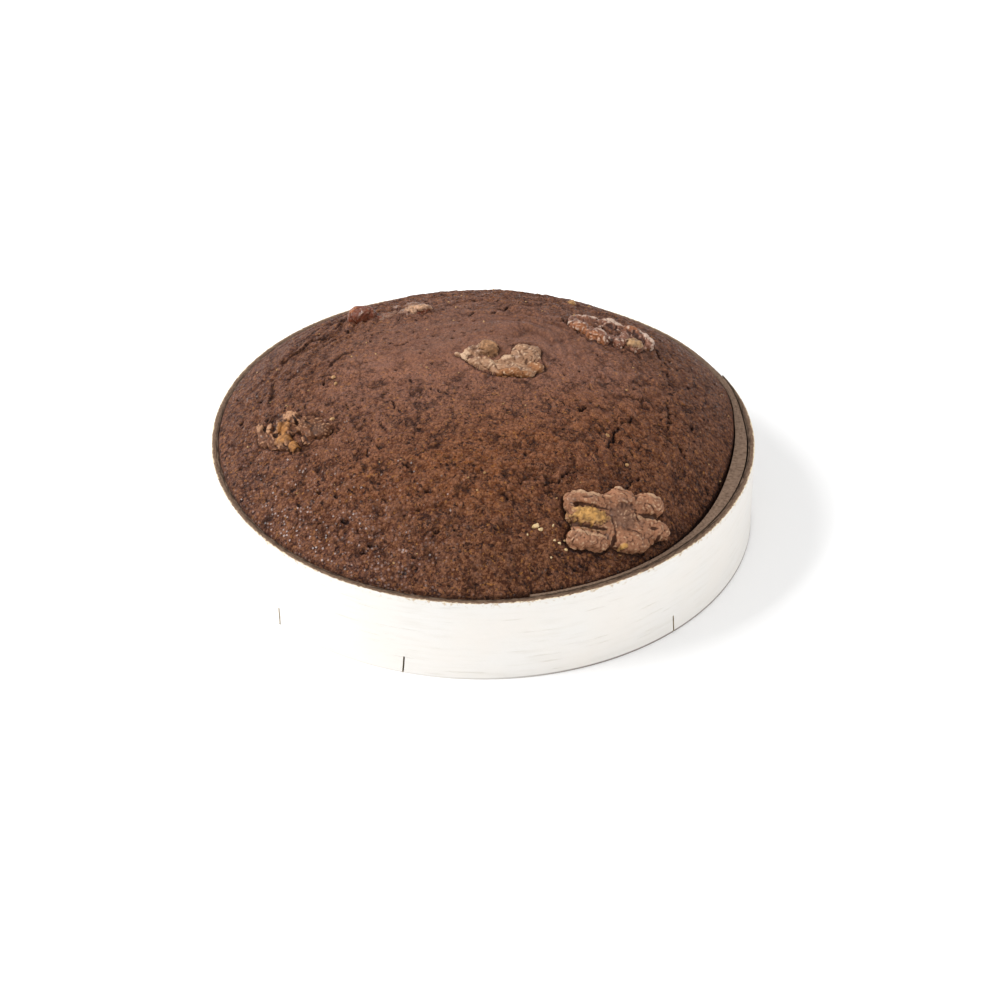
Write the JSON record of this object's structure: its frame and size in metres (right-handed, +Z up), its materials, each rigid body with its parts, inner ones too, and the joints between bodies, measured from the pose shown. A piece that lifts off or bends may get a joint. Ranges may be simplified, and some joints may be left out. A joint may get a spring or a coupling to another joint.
{
  "type": "walnut cake in a paper case",
  "caption": "Round domed brown cake baked in a low white board case, with walnut halves pressed into its crust.",
  "frame": {"origin": "middle of the underside of the case, where the cake stands", "axes": "+Z up through the top of the dome, -Y towards the front, +X towards the lap of the case"},
  "size_m": [0.1794, 0.1811, 0.0621],
  "materials": {
    "white_lined_board": "white paper face outside, brown board inside and on the cut edge",
    "baked_crust": "brown baked crust with pores, slightly glossy",
    "walnut_kernel": "wrinkled tan skin, golden where broken"
  },
  "bodies": {
    "root": {"case_wall": "white_lined_board", "case_disc": "white_lined_board", "cake": "baked_crust", "walnut_front": "walnut_kernel", "walnut_centre": "walnut_kernel", "walnut_left": "walnut_kernel", "walnut_back_left": "walnut_kernel", "walnut_back_right": "walnut_kernel"}
  },
  "joints": []
}
